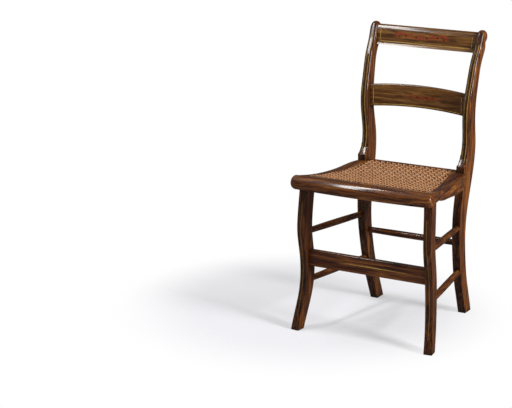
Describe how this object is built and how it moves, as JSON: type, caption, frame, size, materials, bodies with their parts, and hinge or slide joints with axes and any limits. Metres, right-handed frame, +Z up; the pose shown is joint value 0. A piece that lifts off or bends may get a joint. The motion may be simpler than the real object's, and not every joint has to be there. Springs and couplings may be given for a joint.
{
  "type": "side chair",
  "caption": "Side chair with scrolled posts, stenciled crest rail and slat, rolled front seat rail, sabre legs, turned side stretchers and a woven cane seat.",
  "frame": {"origin": "on the floor under the centre of the bounding box", "axes": "+X across the chair towards the sitter's left as seen from the front, the seat faces -Y, +Z up"},
  "size_m": [0.4456, 0.4675, 0.8475],
  "materials": {
    "painted_frame": "dark brown grained paint under gloss varnish, ochre striping",
    "stenciled_panel": "dark brown grained paint with stenciled fruit and leaves and ochre striping, gloss varnish",
    "wooden_pin": "painted over with the frame",
    "cane": "natural split cane, satin"
  },
  "bodies": {
    "root": {"left_rear_post": "painted_frame", "right_rear_post": "painted_frame", "left_front_leg": "painted_frame", "right_front_leg": "painted_frame", "front_seat_rail": "painted_frame", "left_side_seat_rail": "painted_frame", "right_side_seat_rail": "painted_frame", "rear_seat_rail": "painted_frame", "crest_rail": "stenciled_panel", "back_slat": "stenciled_panel", "front_stretcher": "painted_frame", "rear_stretcher": "painted_frame", "left_upper_side_stretcher": "painted_frame", "right_upper_side_stretcher": "painted_frame", "left_lower_side_stretcher": "painted_frame", "right_lower_side_stretcher": "painted_frame", "left_crest_pin": "wooden_pin", "right_crest_pin": "wooden_pin", "left_slat_pin": "wooden_pin", "right_slat_pin": "wooden_pin", "cane_seat": "cane", "cane_binder": "cane"}
  },
  "joints": []
}
